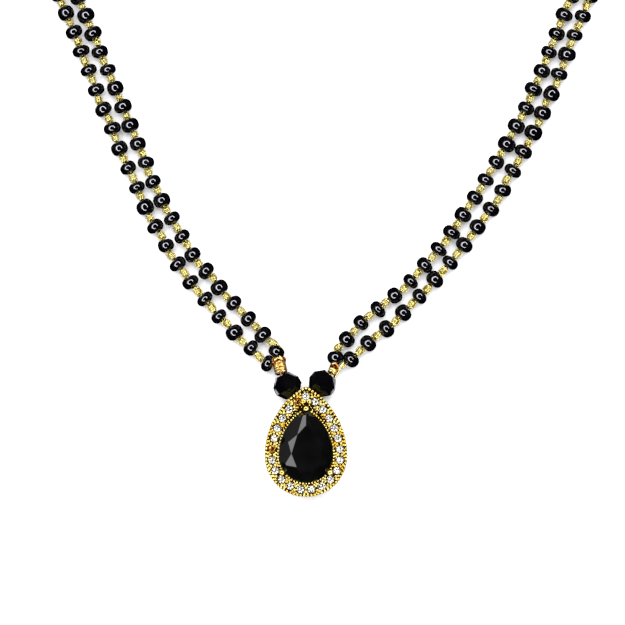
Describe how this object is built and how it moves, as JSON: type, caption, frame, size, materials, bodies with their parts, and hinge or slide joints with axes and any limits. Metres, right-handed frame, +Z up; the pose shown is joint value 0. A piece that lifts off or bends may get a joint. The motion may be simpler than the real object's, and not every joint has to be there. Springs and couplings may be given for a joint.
{
  "type": "mangalsutra necklace with a pear pendant",
  "caption": "Two-strand black bead mangalsutra with gold wire links, faceted black rondelles and a black pear pendant in a clear-stone halo.",
  "frame": {"origin": "middle of the pendant's flat back, on the surface that the necklace lies on", "axes": "+Z up out of the surface, +Y from the pendant to the clasp, +X to the right seen from above"},
  "size_m": [0.12, 0.1932, 0.0057],
  "materials": {
    "gold_metal": "polished gold plate",
    "gold_wire": "bright gold-plated wire",
    "black_glass": "glossy opaque black glass",
    "black_stone": "polished faceted opaque black",
    "clear_stone": "clear faceted stone"
  },
  "bodies": {
    "root": {"setting": "gold_metal", "centre_stone": "black_stone", "halo_stone_01": "clear_stone", "halo_stone_02": "clear_stone", "halo_stone_03": "clear_stone", "halo_stone_04": "clear_stone", "halo_stone_05": "clear_stone", "halo_stone_06": "clear_stone", "halo_stone_07": "clear_stone", "halo_stone_08": "clear_stone", "halo_stone_09": "clear_stone", "halo_stone_10": "clear_stone", "halo_stone_11": "clear_stone", "halo_stone_12": "clear_stone", "halo_stone_13": "clear_stone", "halo_stone_14": "clear_stone", "halo_stone_15": "clear_stone", "halo_stone_16": "clear_stone", "halo_stone_17": "clear_stone", "halo_stone_18": "clear_stone", "halo_stone_19": "clear_stone", "halo_stone_20": "clear_stone", "halo_stone_21": "clear_stone", "halo_stone_22": "clear_stone", "halo_stone_23": "clear_stone", "rondelle_left": "black_glass", "rondelle_right": "black_glass", "strand_left_outer": "black_glass", "strand_left_inner": "black_glass", "strand_right_inner": "black_glass", "strand_right_outer": "black_glass", "connector_left": "gold_wire", "connector_right": "gold_wire", "clasp": "gold_wire"}
  },
  "joints": []
}
